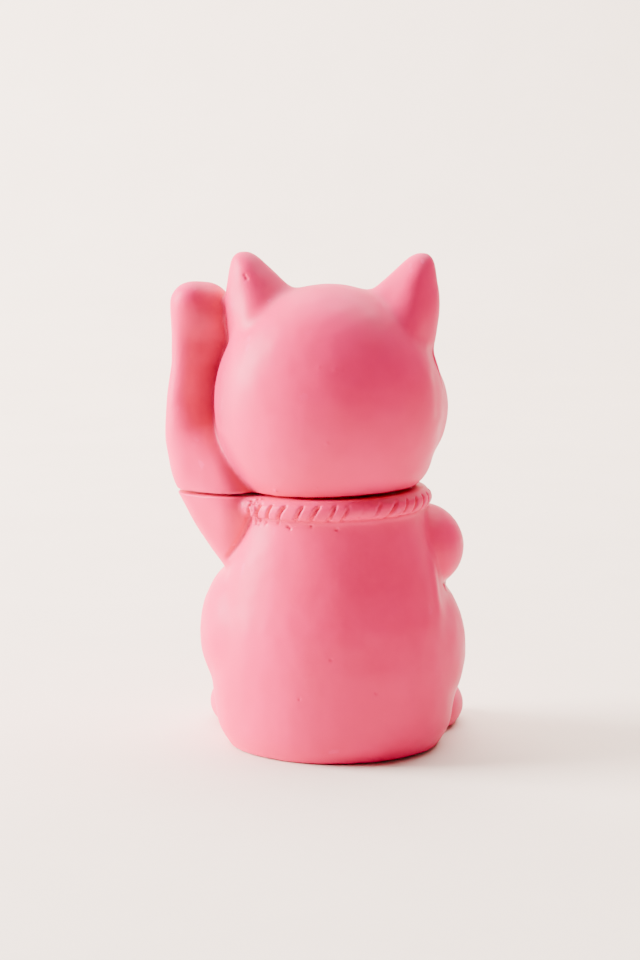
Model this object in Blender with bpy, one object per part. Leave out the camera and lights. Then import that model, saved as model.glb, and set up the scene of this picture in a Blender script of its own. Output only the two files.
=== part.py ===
"""A beckoning cat trinket box in cast resin, 99 mm tall. Its head and raised paw lift off as the lid.

The frame is in metres: +Z is up, the cat faces -Y and its left side is +X. The origin is the middle of
the base. Each form is a set of overlapping balls, limbs and turned solids, blended into one skin and
then cut at the seam.
"""

import math

import bmesh
import bpy
from mathutils import Matrix, Vector

MM = 0.001


def mm(*values):
    """Millimetres as a vector in metres."""
    return Vector(values) * MM


# ---------------------------------------------------------------- driving dimensions

SEAM_Z = 52.3 * MM  # where the seam plane crosses the axis; the lid lifts off there
SEAM_TILT = math.radians(2)  # the plane falls towards the cat's left arm
SEAM = Matrix.Translation((0, 0, SEAM_Z)) @ Matrix.Rotation(SEAM_TILT, 4, "Y")
SEAM_GAP = 0.4 * MM
FIT_GAP = 0.3 * MM  # around every piece that sits in another

SKIN = 0.8 * MM  # the grid that a blended skin is read on
BODY_DETAIL = 0.115  # share of a skin's faces that are kept
LID_DETAIL = 0.11
CLEAR = 100 * MM  # beyond any part of the cat
PAST = 10 * MM  # how far a cutter runs on past the face that it cuts

# Radii of the creases where one form runs into the next.
TRUNK_FILLET = 2.0 * MM
SKULL_FILLET = 2.6 * MM
EAR_FILLET = 1.8 * MM
ARM_FILLET = 1.2 * MM
LAST_FILLET = 0.6 * MM

MOUTH = mm(11.6, 10.4, 0)  # half width and half depth of the box's mouth
CAVITY_FLOOR_Z = 8.0 * MM
CAVITY_CORNER = 3.0 * MM
CAVITY_EASE = 0.9 * MM
SPIGOT_WALL = 2.2 * MM
SPIGOT_DEPTH = 4.0 * MM
SPIGOT_ROOT = 3.0 * MM  # how far the spigot runs up into the lid
HOLLOW_HEIGHT = 20.0 * MM  # how far the lid is hollow above the seam
DOME_STEPS = 6

BASE_Z = 0.2 * MM  # the resin stands this far clear of the floor, on its felt
PAD_SIZE = mm(16.5, 14.5, 0)
PAD_THICKNESS = 0.9 * MM
LINER_SIZE = MOUTH - mm(3.4, 3.4, 0)
LINER_THICKNESS = 0.8 * MM

NECK_MAGNET = mm(-14.5, 0, 0)
NECK_MAGNET_RADIUS = 1.5 * MM
NECK_MAGNET_DEPTH = 1.5 * MM
ARM_MAGNET = mm(23.4, -2.6, 0)
ARM_MAGNET_RADIUS = 2.5 * MM
ARM_MAGNET_DEPTH = 2.0 * MM

# The turned trunk as (half width, height) in millimetres, and its depth as a share of its width.
TRUNK = [
    (19.0, -3),
    (21.9, 1),
    (23.6, 4),
    (24.4, 10),
    (24.7, 18),
    (24.0, 26),
    (21.9, 34),
    (19.8, 41),
    (18.1, 47),
    (18.0, 56),
]
TRUNK_DEPTH = 0.835
TRUNK_X = -0.5 * MM
LEFT_HAUNCH = (mm(13.9, -4.0, 22.3), mm(13.2, 17.0, 16.4))
RIGHT_HAUNCH = (mm(-13.8, -4.0, 19.0), mm(13.4, 17.0, 17.4))
BELLY = (mm(0, -7, 23), mm(17, 15.0, 21))
LEFT_FOOT = (mm(17.5, -16.0, 4.0), mm(8.9, 11.5, 6.2))
RIGHT_FOOT = (mm(-17.9, -16.0, 4.0), mm(8.9, 11.5, 6.3))

# Limbs as stations along their length, from the shoulder.
# Each station is one or more balls as (centre, radius).
# The raised forearm has a narrow outer crest, and its back falls away from there towards the head.
RAISED_ARM = [
    [(mm(14.0, 0.0, 36.0), 6.0 * MM)],
    [(mm(18.6, -1.0, 43.0), 6.6 * MM)],
    [(mm(22.5, -2.0, 49.0), 6.8 * MM), (mm(19.2, 2.6, 49.2), 5.2 * MM)],
    [(mm(25.8, -3.0, 55.5), 7.0 * MM), (mm(21.8, 0.6, 55.5), 5.2 * MM)],
    [(mm(29.0, -3.0, 62.0), 5.0 * MM), (mm(26.0, -5.4, 62.0), 6.0 * MM)],
    [(mm(30.2, -2.6, 69.0), 3.4 * MM), (mm(25.6, -7.0, 69.0), 5.0 * MM)],
    [(mm(29.6, -2.6, 77.0), 2.9 * MM), (mm(25.4, -7.6, 77.0), 4.8 * MM)],
    [
        (mm(29.5, -3.0, 82.5), 3.0 * MM),
        (mm(25.6, -7.2, 82.5), 4.9 * MM),
        (mm(22.2, -6.2, 82.5), 3.6 * MM),
    ],
    [(mm(28.2, -3.4, 88.7), 4.6 * MM), (mm(26.2, -5.2, 87.0), 6.1 * MM)],
    [(mm(26.2, -9.8, 83.6), 5.3 * MM)],
]
LOWERED_ARM = [
    [(mm(-12.0, -2.0, 43.0), 7.0 * MM)],
    [(mm(-18.0, -4.5, 40.0), 8.6 * MM)],
    [(mm(-17.5, -12.5, 34.5), 6.6 * MM)],
    [(mm(-11.0, -19.5, 32.0), 5.6 * MM)],
]

# The head.
SKULL = (mm(0.6, 0, 69.3), mm(23.1, 19.8, 23.9))
JAW = (mm(0, -0.5, 58), mm(20.2, 16.8, 10))
CHEEK = (mm(13.8, -6.5, 67.5), mm(9.6, 12.0, 12.5))
MUZZLE = (mm(3.7, -15.6, 62.6), mm(5.6, 6.0, 4.6))
NOSE = (mm(0, -20.4, 66.2), mm(2.0, 1.6, 1.4))
EAR = [
    (mm(18.2, -2.4, 97.2), 2.4 * MM),
    (mm(16.9, -2.4, 96.9), 2.6 * MM),
    (mm(17.0, 0.2, 95.2), 2.1 * MM),
    (mm(13.4, 2.6, 84.0), 5.0 * MM),
    (mm(9.3, -1.0, 87.6), 4.2 * MM),
    (mm(17.4, -1.5, 89.0), 4.2 * MM),
    (mm(15.9, -1.0, 82.5), 4.8 * MM),
]
EAR_HOLLOW = [
    (mm(17.2, -6.0, 94.6), 1.6 * MM),
    (mm(12.4, -6.8, 89.5), 1.9 * MM),
    (mm(17.6, -6.8, 87.0), 1.9 * MM),
]

# What the cat wears and holds, all cast in one with the body.
ROPE = (17.9 * MM, -2.25 * MM, 1.9 * MM)  # ring radius, height from the seam and rope radius
BELL = (mm(0, -18.4, 45.6), 4.2 * MM)
COIN = (mm(0.6, -21.6, 25.6), mm(6.6, 0, 9.8))
COIN_THICKNESS = 3.6 * MM
COIN_LEAN = math.radians(-6)

# Finishes as (colour, roughness, metallic).
PINK_RESIN = ((0.90, 0.16, 0.25, 1), 0.5, 0.0)
NICKEL = ((0.62, 0.61, 0.59, 1), 0.3, 1.0)
FELT = ((0.40, 0.10, 0.14, 1), 0.95, 0.0)


# ---------------------------------------------------------------- building blocks


def mirrored(point):
    return Vector((-point.x, point.y, point.z))


def new_object(name, bm):
    """An object from a bmesh, its faces pointing out."""
    bmesh.ops.recalc_face_normals(bm, faces=bm.faces)
    mesh = bpy.data.meshes.new(name)
    bm.to_mesh(mesh)
    bm.free()
    obj = bpy.data.objects.new(name, mesh)
    bpy.context.scene.collection.objects.link(obj)
    return obj


def placed(obj, matrix):
    """The object with its mesh moved by the matrix."""
    obj.data.transform(matrix)
    return obj


def ball(centre, radii, segments=32):
    """An ellipsoid, or a sphere if radii is one number."""
    radii = Vector(radii) if hasattr(radii, "__len__") else Vector((radii, radii, radii))
    bm = bmesh.new()
    place = Matrix.LocRotScale(centre, None, radii)
    bmesh.ops.create_uvsphere(bm, u_segments=segments, v_segments=segments // 2, radius=1, matrix=place)
    return new_object("ball", bm)


def hull(balls, side=1):
    """The skin stretched over balls, each given as (centre, radius). side is -1 for the cat's right."""
    bm = bmesh.new()
    for centre, radius in balls:
        place = Matrix.Translation((side * centre.x, centre.y, centre.z))
        bmesh.ops.create_uvsphere(bm, u_segments=20, v_segments=10, radius=radius, matrix=place)
    bmesh.ops.delete(bm, geom=bm.edges[:], context="EDGES_FACES")
    made = bmesh.ops.convex_hull(bm, input=bm.verts)
    loose = [v for v in bm.verts if not v.link_faces]
    bmesh.ops.delete(bm, geom=loose, context="VERTS")
    return new_object("hull", bm)


def limb(stations):
    """A chain of tapered lengths through the stations."""
    return joined("limb", [hull(near + far) for near, far in zip(stations, stations[1:])])


def turned(profile, depth=1.0, steps=64):
    """A solid turned about Z from (radius, height) points, bottom to top, flattened front to back."""
    bm = bmesh.new()
    turns = [2 * math.pi * step / steps for step in range(steps)]
    rings = []
    for radius, height in profile:
        points = [(radius * math.cos(turn), radius * depth * math.sin(turn), height) for turn in turns]
        rings.append([bm.verts.new(point) for point in points])
    for low, high in zip(rings, rings[1:]):
        for step in range(steps):
            after = (step + 1) % steps
            bm.faces.new((low[step], low[after], high[after], high[step]))
    bm.faces.new(rings[0])
    bm.faces.new(rings[-1])
    return new_object("turned", bm)


def oval_disc(name, centre, half, low, high, steps=40):
    """An upright slab of oval outline, from one height to another."""
    slab = turned([(half.x, low), (half.x, high)], depth=half.y / half.x, steps=steps)
    slab.name = name
    return placed(slab, Matrix.Translation((centre.x, centre.y, 0)))


def ring(radius, height, thickness, depth, steps=64, sides=12):
    """A rope's ring: a torus round Z, flattened front to back with the neck that it goes round."""
    bm = bmesh.new()
    for step in range(steps):
        turn = 2 * math.pi * step / steps
        for side in range(sides):
            tip = 2 * math.pi * side / sides
            out = radius + thickness * math.cos(tip)
            rise = height + thickness * math.sin(tip)
            bm.verts.new((out * math.cos(turn), out * depth * math.sin(turn), rise))
    bm.verts.ensure_lookup_table()
    for step in range(steps):
        for side in range(sides):
            corners = [(step, side), (step + 1, side), (step + 1, side + 1), (step, side + 1)]
            bm.faces.new([bm.verts[(a % steps) * sides + b % sides] for a, b in corners])
    return new_object("ring", bm)


def block(low, high):
    bm = bmesh.new()
    bmesh.ops.create_cube(bm, matrix=Matrix.LocRotScale((low + high) / 2, None, high - low))
    return new_object("block", bm)


def joined(name, pieces):
    """One object with the pieces' meshes side by side. The pieces are removed."""
    bm = bmesh.new()
    for piece in pieces:
        bm.from_mesh(piece.data)
        bpy.data.objects.remove(piece)
    return new_object(name, bm)


def applied(obj):
    """The object with its modifiers made part of its mesh."""
    bpy.context.view_layer.update()
    graph = bpy.context.evaluated_depsgraph_get()
    obj.data = bpy.data.meshes.new_from_object(obj.evaluated_get(graph))
    obj.modifiers.clear()
    return obj


def blended(name, pieces, fillet):
    """One skin around overlapping pieces, with the creases between them rounded to about the fillet."""
    obj = joined(name, pieces)
    skin = obj.modifiers.new("skin", "REMESH")
    skin.mode = "VOXEL"
    skin.voxel_size = SKIN
    soften = obj.modifiers.new("soften", "SMOOTH")
    soften.factor = 0.5
    soften.iterations = max(1, round((2 * fillet / SKIN) ** 2))
    return applied(obj)


def simplified(obj, share):
    """The object with only a share of its faces, fewest where it is flattest."""
    thin = obj.modifiers.new("thin", "DECIMATE")
    thin.ratio = share
    return applied(obj)


def boolean(obj, operation, others):
    for other in others:
        step = obj.modifiers.new("step", "BOOLEAN")
        step.operation = operation
        step.object = other
    applied(obj)
    for other in others:
        bpy.data.objects.remove(other)
    return obj


def painted(obj, name, finish):
    """The object under its node's name, with its own material in that finish."""
    colour, roughness, metallic = finish
    obj.name = name
    obj.data.name = name
    material = bpy.data.materials.get(f"{name}_finish") or bpy.data.materials.new(f"{name}_finish")
    material.use_nodes = True
    shader = material.node_tree.nodes["Principled BSDF"]
    shader.inputs["Base Color"].default_value = colour
    shader.inputs["Roughness"].default_value = roughness
    shader.inputs["Metallic"].default_value = metallic
    obj.data.materials.clear()
    obj.data.materials.append(material)
    return obj


# ---------------------------------------------------------------- the two castings


def coin():
    """The upright oval coin that the right paw holds against the belly."""
    centre, half = COIN
    slab = turned([(half.x, -COIN_THICKNESS / 2), (half.x, COIN_THICKNESS / 2)], depth=half.z / half.x)
    tilt = Matrix.Rotation(math.radians(90) + COIN_LEAN, 4, "X")
    return placed(slab, Matrix.Translation(centre) @ tilt)


def raised_arm():
    return blended("raised arm", [limb(RAISED_ARM)], ARM_FILLET)


def body_form():
    """The seated body with both arms, uncut."""
    column = turned([(radius * MM, height * MM) for radius, height in TRUNK], TRUNK_DEPTH)
    trunk = [placed(column, Matrix.Translation((TRUNK_X, 0, 0))), ball(*BELLY)]
    trunk += [ball(*LEFT_HAUNCH), ball(*RIGHT_HAUNCH)]
    trunk = blended("trunk", trunk, TRUNK_FILLET)
    feet = [ball(*LEFT_FOOT), ball(*RIGHT_FOOT)]
    worn = [placed(ring(*ROPE, TRUNK_DEPTH), SEAM), ball(*BELL), coin()]
    return blended("body", [trunk, raised_arm(), limb(LOWERED_ARM), *feet, *worn], LAST_FILLET)


def head_form():
    """The head with its ears and the whole raised arm, uncut."""
    ears = [hull(EAR), hull(EAR, -1)]
    cheeks = [ball(*CHEEK), ball(mirrored(CHEEK[0]), CHEEK[1])]
    head = blended("skull", [ball(*SKULL), ball(*JAW), *cheeks], SKULL_FILLET)
    head = blended("eared skull", [head, *ears], EAR_FILLET)
    boolean(head, "DIFFERENCE", [hull(EAR_HOLLOW), hull(EAR_HOLLOW, -1)])
    face = [ball(*MUZZLE), ball(mirrored(MUZZLE[0]), MUZZLE[1]), ball(*NOSE)]
    return blended("head", [head, *face, raised_arm()], LAST_FILLET)


def half_space(low, high):
    """A block wider than the cat, from one height to another."""
    return block(Vector((-CLEAR, -CLEAR, low)), Vector((CLEAR, CLEAR, high)))


def pocket(centre, radius, low, high):
    """The cutter of a round pocket, a fit gap wider than its magnet. Its heights are from the seam."""
    size = Vector((radius + FIT_GAP, radius + FIT_GAP, 0))
    return placed(oval_disc("pocket", centre, size, low, high, steps=24), SEAM)


def cavity():
    """The body's hollow, with the corner round its floor eased."""
    profile = [
        (MOUTH.x - CAVITY_CORNER, CAVITY_FLOOR_Z),
        (MOUTH.x - CAVITY_EASE, CAVITY_FLOOR_Z + CAVITY_EASE),
        (MOUTH.x, CAVITY_FLOOR_Z + CAVITY_CORNER),
        (MOUTH.x, SEAM_Z + PAST),
    ]
    return turned(profile, depth=MOUTH.y / MOUTH.x)


def body_casting():
    """The body: open at the seam, hollow, and recessed for its pad and its two magnets."""
    body = simplified(body_form(), BODY_DETAIL)
    rim = -SEAM_GAP / 2
    boolean(body, "DIFFERENCE", [half_space(-CLEAR, BASE_Z), placed(half_space(rim, CLEAR), SEAM)])
    seat_size = PAD_SIZE + Vector((FIT_GAP, FIT_GAP, 0))
    pad_seat = oval_disc("pad_seat", mm(0, 0, 0), seat_size, -PAST, PAD_THICKNESS + FIT_GAP)
    neck = pocket(NECK_MAGNET, NECK_MAGNET_RADIUS, rim - NECK_MAGNET_DEPTH - FIT_GAP, PAST)
    arm = pocket(ARM_MAGNET, ARM_MAGNET_RADIUS, rim - ARM_MAGNET_DEPTH - FIT_GAP, PAST)
    boolean(body, "DIFFERENCE", [cavity(), pad_seat, neck, arm])
    return painted(body, "body_casting", PINK_RESIN)


def spigot(size):
    """The oval collar under the lid that drops into the body's mouth."""
    low = SEAM_Z - SPIGOT_DEPTH
    return oval_disc("spigot", mm(0, 0, 0), size, low, SEAM_Z + SPIGOT_ROOT, steps=64)


def hollow(size):
    """The lid's hollow: straight up through the spigot, then domed inside the head."""
    spring = SEAM_Z + HOLLOW_HEIGHT - size.x
    lifts = [math.radians(90) * step / DOME_STEPS for step in range(DOME_STEPS)]
    dome = [(size.x * math.cos(lift), spring + size.x * math.sin(lift)) for lift in lifts]
    return turned([(size.x, SEAM_Z - PAST), *dome], depth=size.y / size.x)


def lid_casting():
    """The lid: the head and raised paw, hollow, with its spigot and recesses for two magnets."""
    lid = simplified(head_form(), LID_DETAIL)
    face = SEAM_GAP / 2
    boolean(lid, "DIFFERENCE", [placed(half_space(-CLEAR, face), SEAM)])
    outer = MOUTH - Vector((FIT_GAP, FIT_GAP, 0))
    inner = outer - Vector((SPIGOT_WALL, SPIGOT_WALL, 0))
    boolean(lid, "UNION", [spigot(outer)])
    neck = pocket(NECK_MAGNET, NECK_MAGNET_RADIUS, -PAST, face + NECK_MAGNET_DEPTH + FIT_GAP)
    arm = pocket(ARM_MAGNET, ARM_MAGNET_RADIUS, -PAST, face + ARM_MAGNET_DEPTH + FIT_GAP)
    boolean(lid, "DIFFERENCE", [hollow(inner), neck, arm])
    return painted(lid, "lid_casting", PINK_RESIN)


# ---------------------------------------------------------------- the pieces fitted to them


def magnet_pair(place, centre, radius, depth):
    """Two discs let into the castings, face to face across the seam."""
    size = Vector((radius, radius, 0))
    face = SEAM_GAP / 2
    lower = oval_disc("magnet", centre, size, -face - depth, -face, steps=24)
    upper = oval_disc("magnet", centre, size, face, face + depth, steps=24)
    painted(placed(lower, SEAM), f"body_{place}_magnet", NICKEL)
    painted(placed(upper, SEAM), f"lid_{place}_magnet", NICKEL)


def base_pad():
    """The felt that the box stands on."""
    pad = oval_disc("pad", mm(0, 0, 0), PAD_SIZE, 0, PAD_THICKNESS, steps=48)
    painted(pad, "base_felt_pad", FELT)


def cavity_liner():
    """The felt on the cavity's floor."""
    low = CAVITY_FLOOR_Z + FIT_GAP
    liner = oval_disc("liner", mm(0, 0, 0), LINER_SIZE, low, low + LINER_THICKNESS, steps=48)
    painted(liner, "cavity_felt_liner", FELT)


def main():
    for obj in list(bpy.data.objects):
        bpy.data.objects.remove(obj)
    body_casting()
    lid_casting()
    magnet_pair("neck", NECK_MAGNET, NECK_MAGNET_RADIUS, NECK_MAGNET_DEPTH)
    magnet_pair("arm", ARM_MAGNET, ARM_MAGNET_RADIUS, ARM_MAGNET_DEPTH)
    base_pad()
    cavity_liner()


main()
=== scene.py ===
"""The looks of a cast resin beckoning cat box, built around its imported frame.

Each casting is modelled again on a fine grid, with the forms that its CAD solid has. It is then given
what a mould leaves: rope strands, parting lines, air bubbles, a relief face and soft edges. The sizes
are the CAD's, in metres, and the relief is worked out in millimetres.
"""

import math

import bmesh
import bpy
import numpy as np
from mathutils import Matrix, Vector, noise


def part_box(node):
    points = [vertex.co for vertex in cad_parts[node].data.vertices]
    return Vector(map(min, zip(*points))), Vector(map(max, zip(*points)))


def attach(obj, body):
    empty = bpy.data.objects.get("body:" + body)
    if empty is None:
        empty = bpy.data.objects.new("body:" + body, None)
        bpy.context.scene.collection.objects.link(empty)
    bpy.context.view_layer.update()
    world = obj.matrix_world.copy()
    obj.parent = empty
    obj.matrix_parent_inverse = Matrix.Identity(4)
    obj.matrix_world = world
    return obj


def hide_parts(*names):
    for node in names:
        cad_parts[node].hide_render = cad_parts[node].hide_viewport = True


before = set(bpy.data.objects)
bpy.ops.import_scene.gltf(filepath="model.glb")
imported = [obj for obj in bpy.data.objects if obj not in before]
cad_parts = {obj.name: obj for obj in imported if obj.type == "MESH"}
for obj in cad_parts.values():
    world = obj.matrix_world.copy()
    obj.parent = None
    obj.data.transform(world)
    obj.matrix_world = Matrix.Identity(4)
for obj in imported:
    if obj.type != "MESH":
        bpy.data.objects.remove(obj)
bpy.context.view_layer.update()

MM = 0.001

# ---------------------------------------------------------------- dimensions shared with the CAD

SEAM_Z = 52.3 * MM  # where the seam plane crosses the axis
SEAM_TILT = math.radians(2)  # the plane falls towards the cat's left arm
SEAM = Matrix.Translation((0, 0, SEAM_Z)) @ Matrix.Rotation(SEAM_TILT, 4, "Y")
SEAM_GAP = 0.4 * MM
FIT_GAP = 0.3 * MM  # around every piece that sits in another
BASE_Z = 0.2 * MM  # how far the resin stands clear of the floor
CLEAR = 100 * MM  # beyond any part of the cat
PAST = 10 * MM  # how far a cutter runs on past the face that it cuts


def mm(*values):
    """Millimetres as a vector in metres."""
    return Vector(values) * MM


# Radii of the creases where one form runs into the next.
TRUNK_FILLET = 2.0 * MM
SKULL_FILLET = 2.6 * MM
EAR_FILLET = 1.8 * MM
ARM_FILLET = 1.2 * MM
LAST_FILLET = 0.6 * MM

MOUTH = mm(11.6, 10.4, 0)  # half width and half depth of the box's mouth
CAVITY_FLOOR_Z = 8.0 * MM
CAVITY_CORNER = 3.0 * MM
CAVITY_EASE = 0.9 * MM
SPIGOT_WALL = 2.2 * MM
SPIGOT_DEPTH = 4.0 * MM
SPIGOT_ROOT = 3.0 * MM  # how far the spigot runs up into the lid
HOLLOW_HEIGHT = 20.0 * MM  # how far the lid is hollow above the seam
PAD_SIZE = mm(16.5, 14.5, 0)
PAD_THICKNESS = 0.9 * MM
LINER_SIZE = MOUTH - mm(3.4, 3.4, 0)
LINER_THICKNESS = 0.8 * MM
NECK_MAGNET = (mm(-14.5, 0, 0), 1.5 * MM, 1.5 * MM)  # centre, radius and depth
ARM_MAGNET = (mm(23.4, -2.6, 0), 2.5 * MM, 2.0 * MM)

# The turned trunk as (half width, height) in millimetres, and its depth as a share of its width.
TRUNK = [
    (19.0, -3),
    (21.9, 1),
    (23.6, 4),
    (24.4, 10),
    (24.7, 18),
    (24.0, 26),
    (21.9, 34),
    (19.8, 41),
    (18.1, 47),
    (18.0, 56),
]
TRUNK_DEPTH = 0.835
TRUNK_X = -0.5 * MM

# Ellipsoids as (centre, half sizes).
LEFT_HAUNCH = (mm(13.9, -4.0, 22.3), mm(13.2, 17.0, 16.4))
RIGHT_HAUNCH = (mm(-13.8, -4.0, 19.0), mm(13.4, 17.0, 17.4))
BELLY = (mm(0, -7, 23), mm(17, 15.0, 21))
LEFT_FOOT = (mm(17.5, -16.0, 4.0), mm(8.9, 11.5, 6.2))
RIGHT_FOOT = (mm(-17.9, -16.0, 4.0), mm(8.9, 11.5, 6.3))

# Limbs as stations from the shoulder, each of one or more balls as (centre, radius).
RAISED_ARM = [
    [(mm(14.0, 0.0, 36.0), 6.0 * MM)],
    [(mm(18.6, -1.0, 43.0), 6.6 * MM)],
    [(mm(22.5, -2.0, 49.0), 6.8 * MM), (mm(19.2, 2.6, 49.2), 5.2 * MM)],
    [(mm(25.8, -3.0, 55.5), 7.0 * MM), (mm(21.8, 0.6, 55.5), 5.2 * MM)],
    [(mm(29.0, -3.0, 62.0), 5.0 * MM), (mm(26.0, -5.4, 62.0), 6.0 * MM)],
    [(mm(30.2, -2.6, 69.0), 3.4 * MM), (mm(25.6, -7.0, 69.0), 5.0 * MM)],
    [(mm(29.6, -2.6, 77.0), 2.9 * MM), (mm(25.4, -7.6, 77.0), 4.8 * MM)],
    [
        (mm(29.5, -3.0, 82.5), 3.0 * MM),
        (mm(25.6, -7.2, 82.5), 4.9 * MM),
        (mm(22.2, -6.2, 82.5), 3.6 * MM),
    ],
    [(mm(28.2, -3.4, 88.7), 4.6 * MM), (mm(26.2, -5.2, 87.0), 6.1 * MM)],
    [(mm(26.2, -9.8, 83.6), 5.3 * MM)],
]
LOWERED_ARM = [
    [(mm(-12.0, -2.0, 43.0), 7.0 * MM)],
    [(mm(-18.0, -4.5, 40.0), 8.6 * MM)],
    [(mm(-17.5, -12.5, 34.5), 6.6 * MM)],
    [(mm(-11.0, -19.5, 32.0), 5.6 * MM)],
]

# The head: ellipsoids, then each ear and its hollow as balls to be hulled.
SKULL = (mm(0.6, 0, 69.3), mm(23.1, 19.8, 23.9))
JAW = (mm(0, -0.5, 58), mm(20.2, 16.8, 10))
CHEEK = (mm(13.8, -6.5, 67.5), mm(9.6, 12.0, 12.5))
MUZZLE = (mm(3.7, -15.6, 62.6), mm(5.6, 6.0, 4.6))
NOSE = (mm(0, -20.4, 66.2), mm(2.0, 1.6, 1.4))
EAR = [
    (mm(18.2, -2.4, 97.2), 2.4 * MM),
    (mm(16.9, -2.4, 96.9), 2.6 * MM),
    (mm(17.0, 0.2, 95.2), 2.1 * MM),
    (mm(13.4, 2.6, 84.0), 5.0 * MM),
    (mm(9.3, -1.0, 87.6), 4.2 * MM),
    (mm(17.4, -1.5, 89.0), 4.2 * MM),
    (mm(15.9, -1.0, 82.5), 4.8 * MM),
]
EAR_HOLLOW = [
    (mm(17.2, -6.0, 94.6), 1.6 * MM),
    (mm(12.4, -6.8, 89.5), 1.9 * MM),
    (mm(17.6, -6.8, 87.0), 1.9 * MM),
]

# What the cat wears and holds.
ROPE = (17.9 * MM, -2.25 * MM, 1.9 * MM)  # ring radius, height from the seam and rope radius
BELL = (mm(0, -18.4, 45.6), 4.2 * MM)
COIN = (mm(0.6, -21.6, 25.6), mm(6.6, 0, 9.8))
COIN_THICKNESS = 3.6 * MM
COIN_LEAN = math.radians(-6)

# ---------------------------------------------------------------- how fine the surfaces are

FORM_GRID = 0.45 * MM  # the grid of a form while it is blended
SKIN_GRID = 0.25 * MM  # the grid of a finished casting
EDGE_FILLET = 0.25 * MM  # how far a casting's cut edges are rounded
FACE_BUDGET = 190000  # triangles in a finished casting
DOME_STEPS = 18


# ---------------------------------------------------------------- building blocks


def mirrored(point):
    return Vector((-point.x, point.y, point.z))


def new_object(name, bm):
    """An object from a bmesh, its faces pointing out."""
    bmesh.ops.recalc_face_normals(bm, faces=bm.faces)
    mesh = bpy.data.meshes.new(name)
    bm.to_mesh(mesh)
    bm.free()
    obj = bpy.data.objects.new(name, mesh)
    bpy.context.scene.collection.objects.link(obj)
    return obj


def placed(obj, matrix):
    """The object with its mesh moved by the matrix."""
    obj.data.transform(matrix)
    return obj


def ball(centre, radii):
    """An ellipsoid, or a sphere if radii is one number."""
    radii = Vector(radii) if hasattr(radii, "__len__") else Vector((radii, radii, radii))
    bm = bmesh.new()
    place = Matrix.LocRotScale(centre, None, radii)
    bmesh.ops.create_uvsphere(bm, u_segments=48, v_segments=24, radius=1, matrix=place)
    return new_object("ball", bm)


def hull(balls, side=1):
    """The skin stretched over balls, each given as (centre, radius). side is -1 for the cat's right."""
    bm = bmesh.new()
    for centre, radius in balls:
        place = Matrix.Translation((side * centre.x, centre.y, centre.z))
        bmesh.ops.create_uvsphere(bm, u_segments=32, v_segments=16, radius=radius, matrix=place)
    bmesh.ops.delete(bm, geom=bm.edges[:], context="EDGES_FACES")
    bmesh.ops.convex_hull(bm, input=bm.verts)
    bmesh.ops.delete(bm, geom=[v for v in bm.verts if not v.link_faces], context="VERTS")
    return new_object("hull", bm)


def limb(stations):
    """A chain of tapered lengths through the stations."""
    return joined("limb", [hull(near + far) for near, far in zip(stations, stations[1:])])


def turned(profile, depth=1.0, steps=96):
    """A solid turned about Z from (radius, height) points, bottom to top, flattened front to back."""
    bm = bmesh.new()
    turns = [2 * math.pi * step / steps for step in range(steps)]
    rings = []
    for radius, height in profile:
        points = [(radius * math.cos(turn), radius * depth * math.sin(turn), height) for turn in turns]
        rings.append([bm.verts.new(point) for point in points])
    for low, high in zip(rings, rings[1:]):
        for step in range(steps):
            after = (step + 1) % steps
            bm.faces.new((low[step], low[after], high[after], high[step]))
    bm.faces.new(rings[0])
    bm.faces.new(rings[-1])
    return new_object("turned", bm)


def oval_disc(name, centre, half, low, high, steps=96):
    """An upright slab of oval outline, from one height to another."""
    slab = turned([(half.x, low), (half.x, high)], depth=half.y / half.x, steps=steps)
    slab.name = name
    return placed(slab, Matrix.Translation((centre.x, centre.y, 0)))


def ring(radius, height, thickness, depth, steps=128, sides=24):
    """A rope's ring: a torus round Z, flattened front to back with the neck that it goes round."""
    bm = bmesh.new()
    for step in range(steps):
        turn = 2 * math.pi * step / steps
        for side in range(sides):
            tip = 2 * math.pi * side / sides
            out = radius + thickness * math.cos(tip)
            rise = height + thickness * math.sin(tip)
            bm.verts.new((out * math.cos(turn), out * depth * math.sin(turn), rise))
    bm.verts.ensure_lookup_table()
    for step in range(steps):
        for side in range(sides):
            corners = [(step, side), (step + 1, side), (step + 1, side + 1), (step, side + 1)]
            bm.faces.new([bm.verts[(a % steps) * sides + b % sides] for a, b in corners])
    return new_object("ring", bm)


def half_space(low, high):
    """A block wider than the cat, from one height to another."""
    bm = bmesh.new()
    size = Vector((2 * CLEAR, 2 * CLEAR, high - low))
    bmesh.ops.create_cube(bm, matrix=Matrix.LocRotScale(Vector((0, 0, (low + high) / 2)), None, size))
    return new_object("block", bm)


def joined(name, pieces):
    """One object with the pieces' meshes side by side. The pieces are removed."""
    bm = bmesh.new()
    for piece in pieces:
        bm.from_mesh(piece.data)
        bpy.data.objects.remove(piece)
    return new_object(name, bm)


def applied(obj):
    """The object with its modifiers made part of its mesh."""
    bpy.context.view_layer.update()
    graph = bpy.context.evaluated_depsgraph_get()
    obj.data = bpy.data.meshes.new_from_object(obj.evaluated_get(graph))
    obj.modifiers.clear()
    return obj


def reskinned(obj, grid, fillet):
    """The object as one skin on the grid, with its edges and creases rounded to about the fillet."""
    skin = obj.modifiers.new("skin", "REMESH")
    skin.mode = "VOXEL"
    skin.voxel_size = grid
    soften = obj.modifiers.new("soften", "SMOOTH")
    soften.factor = 0.5
    soften.iterations = max(1, round((2 * fillet / grid) ** 2))
    return applied(obj)


def blended(name, pieces, fillet):
    return reskinned(joined(name, pieces), FORM_GRID, fillet)


def boolean(obj, operation, others):
    for other in others:
        step = obj.modifiers.new("step", "BOOLEAN")
        step.operation = operation
        step.solver = "MANIFOLD"
        step.object = other
    applied(obj)
    for other in others:
        bpy.data.objects.remove(other)
    return obj


# ---------------------------------------------------------------- the castings' forms


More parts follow.
